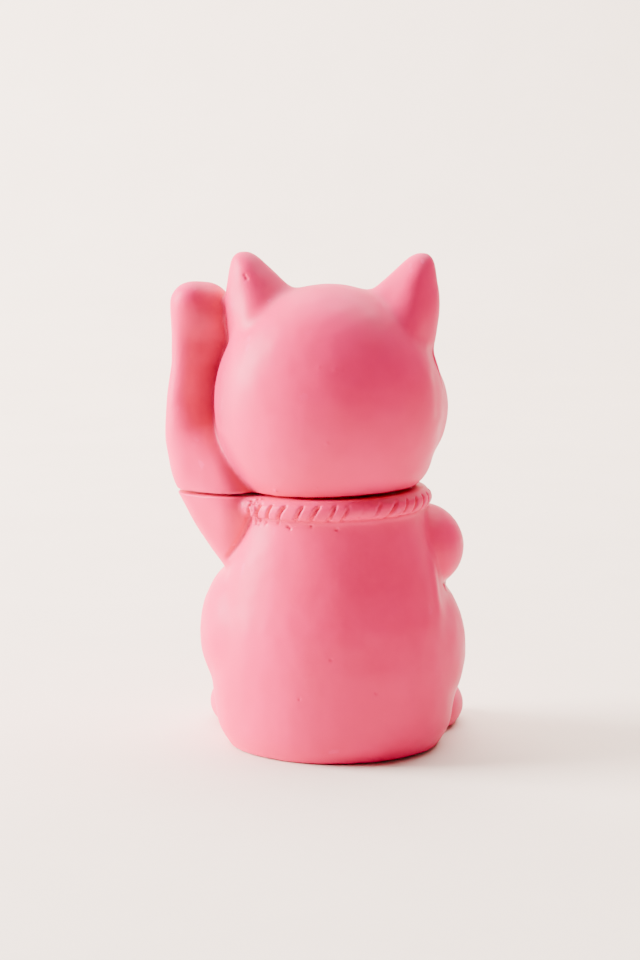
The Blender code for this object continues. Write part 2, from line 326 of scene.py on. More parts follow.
def coin():
    """The upright oval coin that the right paw holds against the belly."""
    centre, half = COIN
    slab = turned([(half.x, -COIN_THICKNESS / 2), (half.x, COIN_THICKNESS / 2)], depth=half.z / half.x)
    tilt = Matrix.Rotation(math.radians(90) + COIN_LEAN, 4, "X")
    return placed(slab, Matrix.Translation(centre) @ tilt)


def raised_arm():
    return blended("raised arm", [limb(RAISED_ARM)], ARM_FILLET)


def body_form():
    """The seated body with both arms, uncut."""
    column = turned([(radius * MM, height * MM) for radius, height in TRUNK], TRUNK_DEPTH)
    trunk = [placed(column, Matrix.Translation((TRUNK_X, 0, 0))), ball(*BELLY)]
    trunk += [ball(*LEFT_HAUNCH), ball(*RIGHT_HAUNCH)]
    trunk = blended("trunk", trunk, TRUNK_FILLET)
    feet = [ball(*LEFT_FOOT), ball(*RIGHT_FOOT)]
    worn = [placed(ring(*ROPE, TRUNK_DEPTH), SEAM), ball(*BELL), coin()]
    return blended("body", [trunk, raised_arm(), limb(LOWERED_ARM), *feet, *worn], LAST_FILLET)


def head_form():
    """The head with its ears and the whole raised arm, uncut."""
    ears = [hull(EAR), hull(EAR, -1)]
    cheeks = [ball(*CHEEK), ball(mirrored(CHEEK[0]), CHEEK[1])]
    head = blended("skull", [ball(*SKULL), ball(*JAW), *cheeks], SKULL_FILLET)
    head = blended("eared skull", [head, *ears], EAR_FILLET)
    boolean(head, "DIFFERENCE", [hull(EAR_HOLLOW), hull(EAR_HOLLOW, -1)])
    face = [ball(*MUZZLE), ball(mirrored(MUZZLE[0]), MUZZLE[1]), ball(*NOSE)]
    return blended("head", [head, *face, raised_arm()], LAST_FILLET)


def pocket(magnet, low, high):
    """The cutter of a magnet's round pocket, with heights from the seam."""
    centre, radius, _ = magnet
    size = Vector((radius + FIT_GAP / 2, radius + FIT_GAP / 2, 0))
    return placed(oval_disc("pocket", centre, size, low, high), SEAM)


def cavity():
    """The body's hollow, with the corner round its floor eased."""
    profile = [
        (MOUTH.x - CAVITY_CORNER, CAVITY_FLOOR_Z),
        (MOUTH.x - CAVITY_EASE, CAVITY_FLOOR_Z + CAVITY_EASE),
        (MOUTH.x, CAVITY_FLOOR_Z + CAVITY_CORNER),
        (MOUTH.x, SEAM_Z + PAST),
    ]
    return turned(profile, depth=MOUTH.y / MOUTH.x)


def body_solid():
    """The body cut at the seam, hollowed, and recessed for its pad and magnets."""
    body = body_form()
    rim = -SEAM_GAP / 2
    boolean(body, "DIFFERENCE", [half_space(-CLEAR, BASE_Z), placed(half_space(rim, CLEAR), SEAM)])
    seat_size = PAD_SIZE + Vector((FIT_GAP, FIT_GAP, 0))
    pad_seat = oval_disc("pad_seat", mm(0, 0, 0), seat_size, -PAST, PAD_THICKNESS + FIT_GAP)
    pockets = [pocket(magnet, rim - magnet[2] - FIT_GAP, PAST) for magnet in (NECK_MAGNET, ARM_MAGNET)]
    return boolean(body, "DIFFERENCE", [cavity(), pad_seat, *pockets])


def spigot(size):
    """The oval collar under the lid that drops into the body's mouth."""
    return oval_disc("spigot", mm(0, 0, 0), size, SEAM_Z - SPIGOT_DEPTH, SEAM_Z + SPIGOT_ROOT)


def hollow(size):
    """The lid's hollow: straight up through the spigot, then domed inside the head."""
    spring = SEAM_Z + HOLLOW_HEIGHT - size.x
    lifts = [math.radians(90) * step / DOME_STEPS for step in range(DOME_STEPS)]
    dome = [(size.x * math.cos(lift), spring + size.x * math.sin(lift)) for lift in lifts]
    return turned([(size.x, SEAM_Z - PAST), *dome], depth=size.y / size.x)


def lid_solid():
    """The head and raised forearm cut at the seam, with the spigot under them, hollowed and recessed."""
    lid = head_form()
    face = SEAM_GAP / 2
    boolean(lid, "DIFFERENCE", [placed(half_space(-CLEAR, face), SEAM)])
    outer = MOUTH - Vector((FIT_GAP, FIT_GAP, 0))
    inner = outer - Vector((SPIGOT_WALL, SPIGOT_WALL, 0))
    boolean(lid, "UNION", [spigot(outer)])
    pockets = [pocket(magnet, -PAST, face + magnet[2] + FIT_GAP) for magnet in (NECK_MAGNET, ARM_MAGNET)]
    return boolean(lid, "DIFFERENCE", [hollow(inner), *pockets])


# ---------------------------------------------------------------- relief
# A mark is a function of points in mm and their normals. It says how many mm the surface rises at each.

FRONT = -1
BACK = 1


def smooth(low, high, value):
    """0 below low, 1 above high, and an even rise between them."""
    t = np.clip((value - low) / (high - low), 0, 1)
    return t * t * (3 - 2 * t)


def hump(offset, width):
    """1 where the offset is 0, falling to 0 on both sides over about the width."""
    return np.exp(-((offset / width) ** 2))


def along(points, steps=10):
    """Points along a smooth curve through the given ones."""
    points = np.array(points, float)
    ends = np.vstack([2 * points[0] - points[1], points, 2 * points[-1] - points[-2]])
    t = np.linspace(0, 1, steps, endpoint=False)[:, None]
    found = []
    for a, b, c, d in zip(ends, ends[1:], ends[2:], ends[3:]):
        square = 2 * a - 5 * b + 4 * c - d
        cube = 3 * b - a - 3 * c + d
        found.append(0.5 * (2 * b + (c - a) * t + square * t**2 + cube * t**3))
    return np.vstack([*found, points[-1:]])


def distance(xz, line):
    """Each point's distance from the line as seen from the front, and its place along it from 0 to 1."""
    best = np.full(len(xz), np.inf)
    where = np.zeros(len(xz))
    for index, (a, b) in enumerate(zip(line, line[1:])):
        run = b - a
        t = np.clip(((xz - a) @ run) / (run @ run), 0, 1)
        gap = np.linalg.norm(xz - a - t[:, None] * run, axis=1)
        closer = gap < best
        best[closer] = gap[closer]
        where[closer] = (index + t[closer]) / (len(line) - 1)
    return best, where


def stroke(points, width, height, side, ahead_of=None, fade=0.12):
    """A groove, or a ridge if height is positive, along a curve of (x, z) points on the FRONT or BACK.

    ahead_of keeps it to the points in front of that y. Each end tapers over the fade's share of it.
    """
    line = along(points)

    def mark(p, n):
        low, high = line.min(0) - 3 * width, line.max(0) + 3 * width
        near = (p[:, 0] > low[0]) & (p[:, 0] < high[0]) & (p[:, 2] > low[1]) & (p[:, 2] < high[1])
        near &= n[:, 1] * side > 0.05
        if ahead_of is not None:
            near &= p[:, 1] < ahead_of
        gap, where = distance(p[near][:, [0, 2]], line)
        out = np.zeros(len(p))
        out[near] = height * hump(gap, width) * smooth(0, fade, np.minimum(where, 1 - where))
        return out

    return mark


def dent(x, z, radius, height, side):
    """A round dent, or a bump if height is positive, on the FRONT or BACK."""

    def mark(p, n):
        gap = np.hypot(p[:, 0] - x, p[:, 2] - z)
        gap[n[:, 1] * side < 0.05] = np.inf
        return height * hump(gap, radius)

    return mark


def unevenness(height, length, seed):
    """The slow swell of a hand-finished surface."""
    shift = Vector((seed, 2.7 * seed, 5.1 * seed))

    def mark(p, n):
        return np.array([height * noise.noise(Vector(q) / length + shift) for q in p])

    return mark


def carved(obj, marks):
    """The object with the marks' heights added along its normals."""
    mesh = obj.data
    count = len(mesh.vertices)
    points = np.empty(count * 3, np.float32)
    normals = np.empty(count * 3, np.float32)
    mesh.vertices.foreach_get("co", points)
    mesh.vertices.foreach_get("normal", normals)
    points = points.reshape(-1, 3) / MM
    normals = normals.reshape(-1, 3)
    height = sum(mark(points, normals) for mark in marks)
    points += normals * height[:, None]
    mesh.vertices.foreach_set("co", (points * MM).astype(np.float32).ravel())
    mesh.update()
    return obj


# The rope collar. Turns go from the back towards the raised arm, and heights are from the rope's middle.
ROPE_RADIUS = ROPE[0] / MM
ROPE_REACH = (ROPE[0] + ROPE[2]) / MM
ROPE_FACE = (-1.75, 1.2)  # the strands' face, from its bottom to its top
ROPE_FOOT = -1.8  # the crease under the rope
STRANDS = 38
STRAND_LEAN = 0.62  # how far a strand leans over for each mm that it rises
STRAND_PHASE = math.radians(-2.2)
STRAND_CROWN = 0.22
GROOVE_DEPTH = 0.85
WORN_STRETCH = (math.radians(-29), math.radians(-12))  # where the strands are worn nearly smooth
WORN_AWAY = 0.88
STUB_TURNS = (math.radians(57), math.radians(118))  # where the raised arm stands in front of the rope
ROPE_END = math.radians(52)


def on_collar(p):
    """Each point's turn about the neck, its distance out and its height from the rope's middle."""
    to_seam = np.array(SEAM.inverted())
    q = (p * MM @ to_seam[:3, :3].T + to_seam[:3, 3]) / MM
    deep = q[:, 1] / TRUNK_DEPTH
    return np.arctan2(q[:, 0], deep), np.hypot(q[:, 0], deep), q[:, 2] - ROPE[1] / MM


def clear_of_arm(turn, fade):
    """0 behind the raised arm's stub and 1 elsewhere."""
    return 1 - smooth(STUB_TURNS[0], STUB_TURNS[0] + fade, turn) * (turn < STUB_TURNS[1])


def rope_strands(p, n):
    """Twisted strands, each highest just past a groove and sloping away to the next one."""
    turn, out, rise = on_collar(p)
    on_rope = smooth(ROPE_RADIUS - 0.3, ROPE_RADIUS + 0.5, out) * (out < ROPE_REACH + 1.2)
    on_rope *= smooth(ROPE_FACE[0] - 0.3, ROPE_FACE[0] + 0.3, rise)
    on_rope *= 1 - smooth(ROPE_FACE[1] - 0.35, ROPE_FACE[1] + 0.35, rise)
    on_rope *= clear_of_arm(turn, 0.04)
    worn = smooth(WORN_STRETCH[0] - 0.05, WORN_STRETCH[0] + 0.05, turn)
    worn *= 1 - smooth(WORN_STRETCH[1] - 0.05, WORN_STRETCH[1] + 0.05, turn)
    # The strands wander a little, and no two grooves are as deep.
    pitch = 2 * math.pi / STRANDS
    wander = 0.09 * np.sin(turn * 7 + 1) + 0.06 * np.sin(turn * 17 + 2.3)
    phase = (turn - STRAND_PHASE + STRAND_LEAN * rise / ROPE_REACH) / pitch + wander
    strand = np.floor(phase)
    depth = GROOVE_DEPTH + 0.18 * np.sin(strand * 2.4) + 0.10 * np.sin(strand * 5.1)
    width = pitch * ROPE_REACH
    across = (phase - strand) * width  # mm from the groove on the strand's far side
    groove = np.minimum(hump(across, 0.42) + hump(width - across, 0.24), 1)
    crown = STRAND_CROWN * smooth(0, 0.9, across) * (1 - 0.6 * across / width)
    return on_rope * (1 - WORN_AWAY * worn) * (crown - depth * groove)


def rope_crease(p, n):
    """The sharp line under the rope."""
    turn, out, rise = on_collar(p)
    there = clear_of_arm(turn, 0.06) * (out > ROPE_RADIUS - 1.4) * (out < ROPE_REACH + 0.7)
    return -0.4 * there * hump(rise - ROPE_FOOT, 0.24)


def rope_end(p, n):
    """The rough, bubbly end of the rope beside the raised arm."""
    turn, out, rise = on_collar(p)
    there = hump(turn - ROPE_END, 0.11) * (np.abs(rise) < 3.2)
    there *= (out > ROPE_RADIUS - 0.5) * (out < ROPE_REACH + 1.7)
    rough = np.zeros(len(p))
    for index in np.nonzero(there > 0.05)[0]:
        rough[index] = noise.noise(Vector(p[index]) / 0.62) + 0.5 * noise.noise(Vector(p[index]) / 0.3)
    return 0.55 * there * rough


def oval(centre, half, p):
    """Each point's distance from the oval's centre, as seen from the front: 1 on the oval."""
    return np.hypot((p[:, 0] - centre[0]) / half[0], (p[:, 2] - centre[1]) / half[1])


EYE = ((8.6, 71.0), (3.9, 3.2))  # centre and half sizes, as (x, z)
PUPIL = ((8.3, 71.0), (1.0, 2.1))


def eye(side):
    """A raised oval eye with an incised outline and an upright pupil. side is 1 for the cat's left."""

    def mark(p, n):
        mirror = p * (side, 1, 1)
        r = oval(*EYE, mirror)
        dome = 0.9 * (1 - smooth(0.55, 1.0, r))
        outline = -0.65 * hump((r - 1.1) * 3.4, 0.42)
        pupil = -0.65 * (1 - smooth(0.75, 1.15, oval(*PUPIL, mirror)))
        return (n[:, 1] < -0.2) * (dome + outline + pupil)

    return mark


def coin_relief(p, n):
    """The coin's face, sunk inside a plain rim, with wavy hatching."""
    centre = (COIN[0].x / MM, COIN[0].z / MM)
    half = (COIN[1].x / MM, COIN[1].z / MM)
    r = oval(centre, half, p)
    face = (n[:, 1] < -0.7) * (p[:, 1] < -22.4) * (r < 0.97)
    sunk = -0.45 * (1 - smooth(0.78, 0.84, r))
    pitch = 1.5
    wave = p[:, 2] + 0.35 * np.sin(p[:, 0] * 1.6)
    gap = np.abs(wave / pitch - np.round(wave / pitch)) * pitch
    hatch = -0.32 * hump(gap, 0.28) * (1 - smooth(0.62, 0.70, r))
    return face * (hatch + sunk)


def bell_relief(p, n):
    """The bell's waist band between two grooves, its slot and the slot's round end."""
    centre = np.array(BELL[0]) / MM
    on_bell = (np.linalg.norm(p - centre, axis=1) < 5.4) * (p[:, 1] < centre[1] + 1)
    rise = p[:, 2] - centre[2]
    band = 0.22 * hump(rise - 0.4, 0.5) - 0.3 * hump(rise - 1.3, 0.3) - 0.3 * hump(rise + 0.5, 0.3)
    slot = -0.6 * hump(p[:, 0], 0.35) * (1 - smooth(-1.8, -1.2, rise))
    hole = -0.8 * hump(np.hypot(p[:, 0], rise + 1.6), 0.6)
    return on_bell * (band + slot + hole)


# Lines and points of the relief, as (x, z) in mm. A side's own x is given for the cat's left.
TOE_GROOVE = [(2.5, 0.5), (2.4, 4.5), (1.9, 8.0)]  # x from the foot's middle
COIN_FINGER = [(-9.4, 32.5), (-7.4, 32.0), (-5.0, 31.6)]
FINGER_PITCH = 1.9
FLANK_LINE = [(-19.6, 43.0), (-20.3, 38.0), (-21.2, 32.5), (-22.8, 26.0)]
STUB_FOLD = [(15.9, 50.4), (15.8, 47.6), (17.2, 44.0), (19.2, 40.6), (21.2, 37.6)]
BACK_PITS = [(5.1, 13.7), (-1.0, 21.8), (-9.7, 15.0)]
ROPE_PITS = [
    (14.3, 47.3),
    (12.1, 47.1),
    (9.6, 47.4),
    (7.7, 46.8),
    (7.3, 46.5),
    (-1.8, 46.7),
    (3.1, 47.2),
]
MOUTH_LINE = [(0, 64.6), (0, 62.4), (1.4, 60.6), (3.9, 59.9), (6.3, 61.4)]
WHISKERS = [
    [(11.0, 65.0), (15.0, 65.46), (19.0, 65.8)],
    [(11.0, 63.2), (15.0, 63.2), (19.0, 63.2)],
    [(11.0, 61.4), (15.0, 60.848), (19.0, 60.44)],
]
WHISKER_ROOTS = [(3.4, 64.0), (4.9, 63.2), (3.6, 62.4)]
EAR_FUR = [[(14.2, 86.6), (14.7, 90.6)], [(15.8, 86.6), (16.3, 92.0)], [(17.2, 86.6), (17.7, 91.0)]]
PAW_GROOVES = [[(24.3, 78.6), (24.3, 83.0), (24.49, 87.4)], [(28.1, 78.6), (28.1, 83.0), (27.91, 87.4)]]
HEAD_VALLEY = [(-19.6, 82.0), (-20.6, 77.0), (-21.2, 72.0), (-21.4, 66.0)]
HEAD_BUMPS = [  # with their heights
    (1.5, 78.5, 0.07),
    (-1.6, 78.0, 0.06),
    (-0.1, 63.9, 0.12),
    (2.2, 54.6, 0.12),
    (10.3, 53.4, 0.2),
]
EAR_KNOCKS = [(17.1, 94.8), (16.8, 94.4), (16.6, 94.1)]


def flipped(points, side):
    """The points on the cat's left, or on its right if side is -1."""
    return [(side * x, z) for x, z in points]


def shifted(points, x, z):
    return [(px + x, pz + z) for px, pz in points]


def toes(foot):
    """The two grooves that part the toes of a foot."""
    middle = foot[0].x / MM
    lines = [shifted(flipped(TOE_GROOVE, side), middle, 0) for side in (-1, 1)]
    return [stroke(line, 0.42, -1.0, FRONT, ahead_of=-20.5) for line in lines]


def body_marks():
    marks = [unevenness(0.22, 11.0, 3.0), unevenness(0.06, 3.0, 7.0)]
    marks += [rope_strands, rope_crease, rope_end, coin_relief, bell_relief]
    marks += toes(LEFT_FOOT) + toes(RIGHT_FOOT)
    for row in (-1, 0, 1):
        finger = shifted(COIN_FINGER, 0, row * FINGER_PITCH)
        marks.append(stroke(finger, 0.36, -0.8, FRONT, ahead_of=-18.5))
    # The parting line down the right flank, with a shallow valley beside it.
    marks.append(stroke(FLANK_LINE, 0.6, 0.36, BACK, fade=0.4))
    marks.append(stroke(shifted(FLANK_LINE, -1.2, 0), 0.95, -0.3, BACK, fade=0.4))
    # Air bubbles from the mould, most of them where the rope meets the raised arm.
    marks += [dent(x, z, 0.2, -0.22, BACK) for x, z in BACK_PITS]
    marks += [dent(x, z, 0.26, -0.4, BACK) for x, z in ROPE_PITS]
    marks.append(stroke(STUB_FOLD, 0.55, -0.55, BACK))
    return marks


def face_marks(side):
    """One side's half of the mouth, its whiskers and their roots, and the fur in its ear."""
    marks = [stroke(flipped(MOUTH_LINE, side), 0.38, -0.8, FRONT)]
    marks += [stroke(flipped(line, side), 0.3, -0.6, FRONT) for line in WHISKERS]
    marks += [dent(side * x, z, 0.32, -0.3, FRONT) for x, z in WHISKER_ROOTS]
    marks += [stroke(flipped(line, side), 0.32, -0.35, FRONT, ahead_of=-2) for line in EAR_FUR]
    return marks


def lid_marks():
    marks = [unevenness(0.22, 12.0, 5.0), unevenness(0.05, 3.0, 9.0), eye(1), eye(-1)]
    marks += face_marks(1) + face_marks(-1)
    marks += [stroke(line, 0.42, -0.9, FRONT, ahead_of=-11.5) for line in PAW_GROOVES]
    # The valley where the back of the head meets the wider face, and knocks and bubbles.
    marks.append(stroke(HEAD_VALLEY, 0.8, -0.28, BACK))
    marks += [dent(x, z, 0.3, height, BACK) for x, z, height in HEAD_BUMPS]
    marks += [dent(x, z, 0.26, -0.22, BACK) for x, z in EAR_KNOCKS]
    return marks


# ---------------------------------------------------------------- materials


MIX_FROM, MIX_TO, MIXED = 6, 7, 2  # a Mix node's sockets for colour


class Nodes:
    """A material's node tree, with one short call for each kind of node that the materials here use."""

    def __init__(self, name):
        self.material = bpy.data.materials.new(name)
        self.material.use_nodes = True
        self.tree = self.material.node_tree
        self.shader = self.tree.nodes["Principled BSDF"]
        self.place = self.add("ShaderNodeTexCoord").outputs["Object"]

    def add(self, kind, **settings):
        node = self.tree.nodes.new(kind)
        for key, value in settings.items():
            setattr(node, key, value)
        return node

    def link(self, source, target):
        self.tree.links.new(source, target)

    def noise(self, size, detail=2.0, rough=0.5):
        """A noise whose features are about size metres across."""
        node = self.add("ShaderNodeTexNoise")
        node.inputs["Scale"].default_value = 1 / size
        node.inputs["Detail"].default_value = detail
        node.inputs["Roughness"].default_value = rough
        self.link(self.place, node.inputs["Vector"])
        return node.outputs["Fac"]

    def ramp(self, value, low, high, start=0.0, end=1.0):
        """The value spread from low..high to start..end."""
        node = self.add("ShaderNodeMapRange", clamp=True)
        for key, number in (("From Min", low), ("From Max", high), ("To Min", start), ("To Max", end)):
            node.inputs[key].default_value = number
        self.link(value, node.inputs["Value"])
        return node.outputs["Result"]

    def mix(self, factor, one, two):
        """A colour between two, each a colour or another node's output."""
        node = self.add("ShaderNodeMix", data_type="RGBA")
        self.link(factor, node.inputs["Factor"])
        for key, colour in ((MIX_FROM, one), (MIX_TO, two)):
            if isinstance(colour, tuple):
                node.inputs[key].default_value = (*colour, 1)
            else:
                self.link(colour, node.inputs[key])
        return node.outputs[MIXED]

    def band(self, direction, low, high, fade):
        """1 where a point lies from low to high along that direction, fading to 0 beyond them."""
        reach = self.add("ShaderNodeVectorMath", operation="DOT_PRODUCT")
        self.link(self.place, reach.inputs[0])
        reach.inputs[1].default_value = direction
        after = self.ramp(reach.outputs["Value"], low - fade, low)
        before = self.ramp(reach.outputs["Value"], high, high + fade, 1.0, 0.0)
        return self.both(after, before)

    def maths(self, operation, one, two):
        """The result for two values, each a number or another node's output."""
        node = self.add("ShaderNodeMath", operation=operation)
        for key, value in enumerate((one, two)):
            if isinstance(value, (int, float)):
                node.inputs[key].default_value = value
            else:
                self.link(value, node.inputs[key])
        return node.outputs[0]

    def both(self, one, two):
        """The product of two masks, or of a mask and a number."""
        return self.maths("MULTIPLY", one, two)

    def bump(self, height, depth, strength=1.0, under=None):
        """A bump of that depth in metres, over another bump's normal."""
        node = self.add("ShaderNodeBump")
        node.inputs["Distance"].default_value = depth
        node.inputs["Strength"].default_value = strength
        self.link(height, node.inputs["Height"])
        if under is not None:
            self.link(under, node.inputs["Normal"])
        return node.outputs["Normal"]


RESIN = (0.80, 0.001, 0.122)
RESIN_PALE = (0.84, 0.002, 0.142)
RESIN_WORN = (0.88, 0.03, 0.23)
# Painted shade: the darker colour put into the hollow behind the raised forearm.
RESIN_PAINTED_SHADE = (0.57, 0.001, 0.095)
PINHOLE = (0.45, 0.03, 0.07)
PINHOLE_CELLS = 150  # to a metre
NICKEL = (0.62, 0.60, 0.56)
NICKEL_DULL = (0.36, 0.34, 0.31)
FELT_DEEP = (0.16, 0.02, 0.04)
FELT_TIPS = (0.38, 0.07, 0.11)
FELT_CLUMPS = (0.26, 0.04, 0.07)


def painted_arm_shade(n):
    """Where shade is painted: 1 in the hollow behind the raised forearm and down its crease with the
    head, and 0 elsewhere.
    """
    forearm = n.both(n.band((1, 0, 0), 0.0215, 0.0262, 0.0030), n.band((0, 0, 1), 0.067, 0.087, 0.006))
    across_crease = (0.906, 0, -0.423)
    crease = n.band(across_crease, -0.0074, -0.0052, 0.0020)
    crease = n.both(crease, n.band((0, 0, 1), 0.051, 0.063, 0.008))
    behind = n.band((0, 1, 0), -0.006, 0.020, 0.003)
    return n.both(n.maths("MAXIMUM", forearm, crease), behind)


def pinholes(n):
    """1 in a small hole at the middle of a few cells of a net, and 0 elsewhere."""
    cells = n.add("ShaderNodeTexVoronoi")
    cells.inputs["Scale"].default_value = PINHOLE_CELLS
    n.link(n.place, cells.inputs["Vector"])
    chosen = n.add("ShaderNodeSeparateColor")
    n.link(cells.outputs["Color"], chosen.inputs["Color"])
    few = n.ramp(chosen.outputs["Red"], 0.70, 0.72)
    return n.both(few, n.ramp(cells.outputs["Distance"], 0.010, 0.024, 1.0, 0.0))


def rubbed(n):
    """How far the edges are rubbed, in patches."""
    edges = n.add("ShaderNodeNewGeometry").outputs["Pointiness"]
    patchy = n.ramp(n.noise(0.004, 4.0), 0.35, 0.7)
    return n.both(n.ramp(edges, 0.515, 0.56, 0.0, 0.6), patchy)


def resin():
    """Matt pink polyester resin, coloured all through, with painted shade darkening it behind the raised
    forearm.

    It has faint mottling, pinholes, a fine grain and paler rubbed edges.
    """
    n = Nodes("pink_resin")
    holes = pinholes(n)
    colour = n.mix(n.ramp(n.noise(0.014, 3.0), 0.35, 0.65), RESIN, RESIN_PALE)
    # Painted shade in the hollow behind the raised forearm and down its crease with the head.
    colour = n.mix(painted_arm_shade(n), colour, RESIN_PAINTED_SHADE)
    colour = n.mix(n.both(holes, 0.5), colour, PINHOLE)
    colour = n.mix(rubbed(n), colour, RESIN_WORN)
    n.link(colour, n.shader.inputs["Base Color"])
    n.link(n.ramp(n.noise(0.006, 4.0), 0.3, 0.7, 0.38, 0.50), n.shader.inputs["Roughness"])
    grain = n.bump(n.noise(0.0004, 3.0, 0.6), 0.00002, 0.6)
    swell = n.bump(n.noise(0.0035, 2.0), 0.00009, 0.5, grain)
    n.link(n.bump(n.maths("SUBTRACT", 1.0, holes), 0.0002, 1.0, swell), n.shader.inputs["Normal"])
    n.shader.inputs["Subsurface Weight"].default_value = 0.05
    n.shader.inputs["Subsurface Radius"].default_value = (1.0, 0.35, 0.3)
    n.shader.inputs["Subsurface Scale"].default_value = 0.001
    n.shader.inputs["Specular IOR Level"].default_value = 0.18
    return n.material


def nickel():
    """Nickel plate with the fine turning marks and dulled spots of a stock magnet."""
    n = Nodes("nickel_plate")
    spots = n.ramp(n.noise(0.0012, 5.0), 0.5, 0.75)
    n.link(n.mix(spots, NICKEL, NICKEL_DULL), n.shader.inputs["Base Color"])
    n.link(n.ramp(n.noise(0.0008, 4.0), 0.3, 0.7, 0.22, 0.42), n.shader.inputs["Roughness"])
    n.link(n.bump(n.noise(0.0003, 3.0), 0.00002, 0.5), n.shader.inputs["Normal"])
    n.shader.inputs["Metallic"].default_value = 1.0
    return n.material


def felt():
    """Deep rose wool felt: matted fibres with paler tips."""
    n = Nodes("wool_felt")
    fibres = n.noise(0.0005, 6.0, 0.75)
    clumps = n.ramp(n.noise(0.003, 3.0), 0.35, 0.65)
    colour = n.mix(n.ramp(fibres, 0.35, 0.65), FELT_DEEP, FELT_TIPS)
    n.link(n.mix(clumps, colour, FELT_CLUMPS), n.shader.inputs["Base Color"])
    n.link(n.bump(fibres, 0.0003, 0.9), n.shader.inputs["Normal"])
    n.link(n.ramp(clumps, 0.0, 1.0, 0.9, 1.0), n.shader.inputs["Roughness"])
    n.shader.inputs["Sheen Weight"].default_value = 0.5
    n.shader.inputs["Sheen Roughness"].default_value = 0.5
    return n.material


# ---------------------------------------------------------------- pieces


def dressed(obj, material):
    """The object smooth shaded, in that material."""
    obj.data.materials.clear()
    obj.data.materials.append(material)
    obj.data.polygons.foreach_set("use_smooth", [True] * len(obj.data.polygons))
    obj.data.update()
    return obj


def fitted(obj, node):
    """The object stretched by under 1% to fill its CAD node's box exactly."""
    low, high = (Vector(corner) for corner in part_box(node))
    points = np.empty(len(obj.data.vertices) * 3, np.float32)
    obj.data.vertices.foreach_get("co", points)
    points = points.reshape(-1, 3)
    own_low, own_high = Vector(points.min(0).tolist()), Vector(points.max(0).tolist())
    scale = Vector(((high[i] - low[i]) / (own_high[i] - own_low[i]) for i in range(3)))
    move = Matrix.Translation(low) @ Matrix.Diagonal((*scale, 1)) @ Matrix.Translation(-own_low)
    return placed(obj, move)


def casting(name, node, solid, marks, body, material):
    """A finished casting that stands for its CAD node."""
    piece = reskinned(solid, SKIN_GRID, EDGE_FILLET)
    carved(piece, marks)
    thin = piece.modifiers.new("thin", "DECIMATE")
    faces = sum(len(face.vertices) - 2 for face in piece.data.polygons)
    thin.ratio = min(1.0, FACE_BUDGET / faces)
    return standing_for(applied(piece), name, node, material, body)


def pad(radius, half_thickness, bevel, depth=1.0, rings=14):
    """A round or oval pad about the origin with rounded rims, in even rings so that it can be carved."""
    rim_x, rim_z = radius - bevel, half_thickness - bevel
    flat = [(rim_x * (index + 0.6) / (rings + 0.6), half_thickness) for index in range(rings)]
    turns = [math.radians(15 * step) for step in range(7)]
    rim = [(rim_x + bevel * math.sin(turn), rim_z + bevel * math.cos(turn)) for turn in turns]
    top = flat + rim
    return turned([(r, -h) for r, h in top] + [(r, h) for r, h in reversed(top)], depth=depth)


def standing_for(piece, name, node, material, body):
    """The piece in its CAD node's place, riding on a body."""
    fitted(piece, node)
    piece.name = name
    dressed(piece, material)
    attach(piece, body)
    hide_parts(node)
    return piece


def magnet_piece(node, magnet, material, body):
    """A nickel-plated disc magnet, with bevelled rims and the faint ring of its plating."""
    _, radius, thickness = magnet
    disc = pad(radius, thickness / 2, 0.15 * MM)

    def plating(p, n):
        out = np.hypot(p[:, 0], p[:, 1]) * MM / radius
        return 0.02 * hump(out - 0.82, 0.05) + 0.012 * hump(out, 0.2)

    carved(disc, [plating])
    disc.data.transform(Matrix.Rotation(SEAM_TILT, 4, "Y"))
    return standing_for(disc, node.replace("_magnet", "_magnet_disc"), node, material, body)


def felt_piece(name, node, half, thickness, material):
    """A die-cut oval of wool felt with a fuzzy face and edge, laid flat."""
    slab = pad(half.x, thickness / 2, 0.25 * MM, depth=half.y / half.x, rings=60)
    carved(slab, [unevenness(0.07, 0.5, 4.0), unevenness(0.06, 1.3, 8.0), unevenness(0.05, 5.0, 6.0)])
    piece = standing_for(slab, name, node, material, "base")
    return piece


# ---------------------------------------------------------------- floor and backdrop

FLOOR_NEAR = 0.45  # towards the camera, behind the cat's back
FLOOR_FAR = -0.55
COVE_RADIUS = 0.35
BACKDROP_HEIGHT = 1.4
FLOOR_HALF_WIDTH = 1.6
COVE_STEPS = 12
FLOOR_TONES = ((0.89, 0.75, 0.65), (0.93, 0.79, 0.69))


def pale_floor():
    n = Nodes("pale_floor")
    tone = n.ramp(n.noise(0.05, 5.0, 0.6), 0.3, 0.7)
    n.link(n.mix(tone, *FLOOR_TONES), n.shader.inputs["Base Color"])
    n.link(n.bump(n.noise(0.004, 4.0), 0.0002, 0.4), n.shader.inputs["Normal"])
    n.shader.inputs["Roughness"].default_value = 0.7
    return n.material


def stage():
    """A pale floor that curves up into the backdrop behind the cat's front."""
    profile = [(FLOOR_NEAR, 0.0), (FLOOR_FAR, 0.0)]
    for step in range(1, COVE_STEPS + 1):
        turn = math.radians(90) * step / COVE_STEPS
        profile.append((FLOOR_FAR - COVE_RADIUS * math.sin(turn), COVE_RADIUS * (1 - math.cos(turn))))
    profile.append((FLOOR_FAR - COVE_RADIUS, BACKDROP_HEIGHT))
    bm = bmesh.new()
    sides = (-FLOOR_HALF_WIDTH, FLOOR_HALF_WIDTH)
    rows = [[bm.verts.new((x, y, z)) for x in sides] for y, z in profile]
    for low, high in zip(rows, rows[1:]):
        bm.faces.new((low[0], low[1], high[1], high[0]))
    floor = dressed(new_object("floor", bm), pale_floor())


# ---------------------------------------------------------------- light and camera

# The camera looks at the cat's back. Turns are in degrees from the cat's front towards its left.
TARGET = mm(2.4, 0, 53.7)
CAMERA_TURN = 183.5
CAMERA_LIFT = 9.5
CAMERA_DISTANCE = 0.453
LENS = 85

